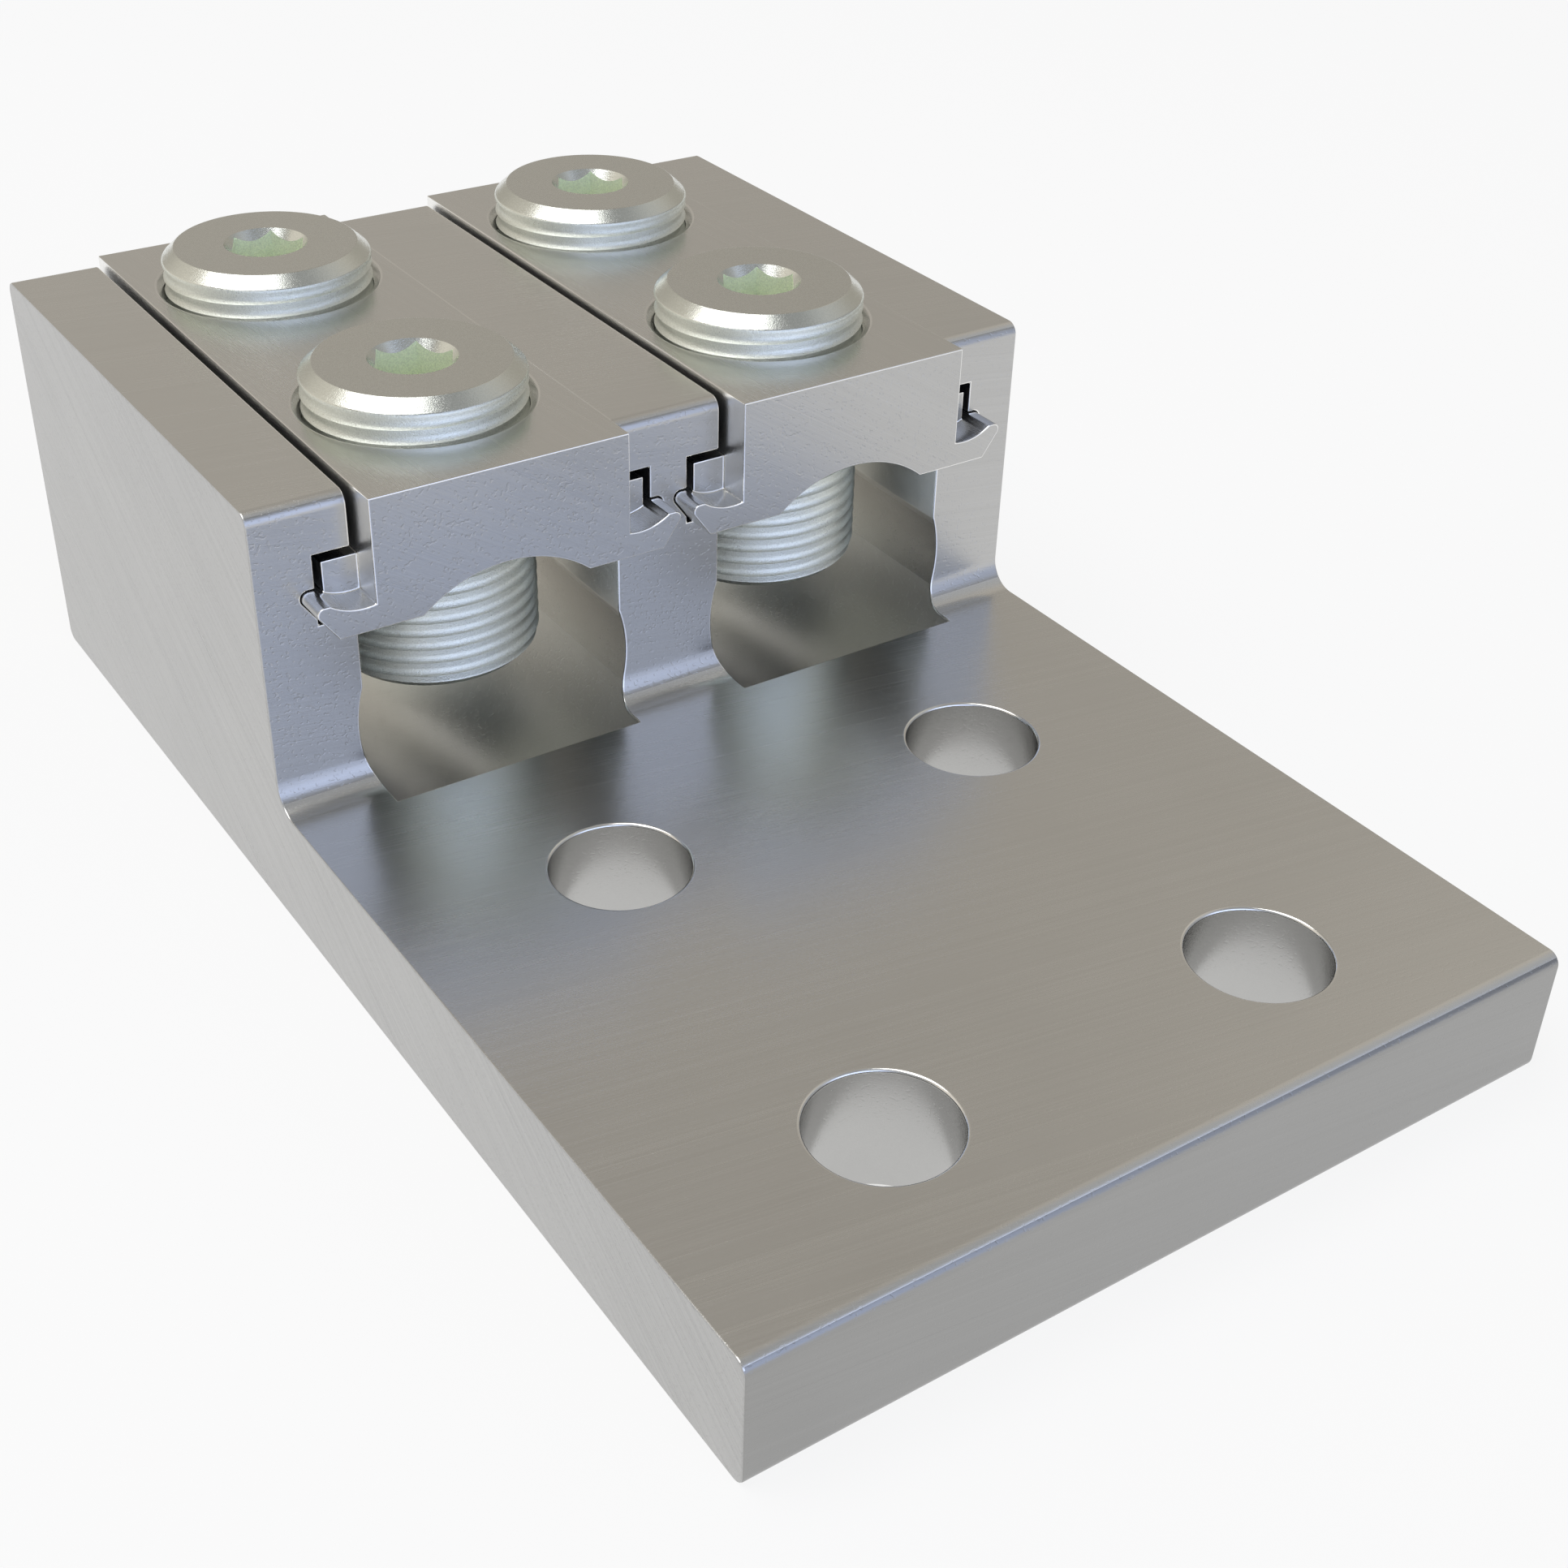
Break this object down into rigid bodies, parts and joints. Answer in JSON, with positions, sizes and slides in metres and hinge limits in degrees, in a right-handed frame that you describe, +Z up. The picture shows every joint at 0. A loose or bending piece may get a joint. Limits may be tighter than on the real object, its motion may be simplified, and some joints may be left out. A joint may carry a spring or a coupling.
{
  "type": "lay-in lug",
  "caption": "Aluminium lay-in cable lug: a bolt-down pad with a block whose open wireways are closed by sliding yokes with hex socket set screws.",
  "frame": {"origin": "centre of the four bolt holes, on the flat underside of the pad", "axes": "+Z up out of the mounting surface, +Y from the pad towards the wire block along the wires, +X to the right seen from the pad's front end"},
  "size_m": [0.0936, 0.1576, 0.0527],
  "materials": {
    "tin_plated_body": "satin, fine brush lines",
    "tin_plated_yoke": "satin, fine brush lines",
    "plated_screw": "fine grained, slightly greenish plating"
  },
  "bodies": {
    "body": {"lug_body": "tin_plated_body"},
    "left_yoke_body": {"left_yoke": "tin_plated_yoke"},
    "right_yoke_body": {"right_yoke": "tin_plated_yoke"},
    "left_front_screw_body": {"left_front_screw": "plated_screw"},
    "left_rear_screw_body": {"left_rear_screw": "plated_screw"},
    "right_front_screw_body": {"right_front_screw": "plated_screw"},
    "right_rear_screw_body": {"right_rear_screw": "plated_screw"}
  },
  "joints": [
    {"name": "left_yoke_slide", "type": "slide", "parent": "body", "child": "left_yoke_body", "axis": [0, 1, 0], "range_m": [-0.074, 0.074]},
    {"name": "right_yoke_slide", "type": "slide", "parent": "body", "child": "right_yoke_body", "axis": [0, 1, 0], "range_m": [-0.074, 0.074]},
    {"name": "left_front_screw_travel", "type": "slide", "parent": "left_yoke_body", "child": "left_front_screw_body", "axis": [0, 0, 1], "range_m": [-0.0049, 0.028]},
    {"name": "left_rear_screw_travel", "type": "slide", "parent": "left_yoke_body", "child": "left_rear_screw_body", "axis": [0, 0, 1], "range_m": [-0.0049, 0.028]},
    {"name": "right_front_screw_travel", "type": "slide", "parent": "right_yoke_body", "child": "right_front_screw_body", "axis": [0, 0, 1], "range_m": [-0.0049, 0.028]},
    {"name": "right_rear_screw_travel", "type": "slide", "parent": "right_yoke_body", "child": "right_rear_screw_body", "axis": [0, 0, 1], "range_m": [-0.0049, 0.028]}
  ]
}
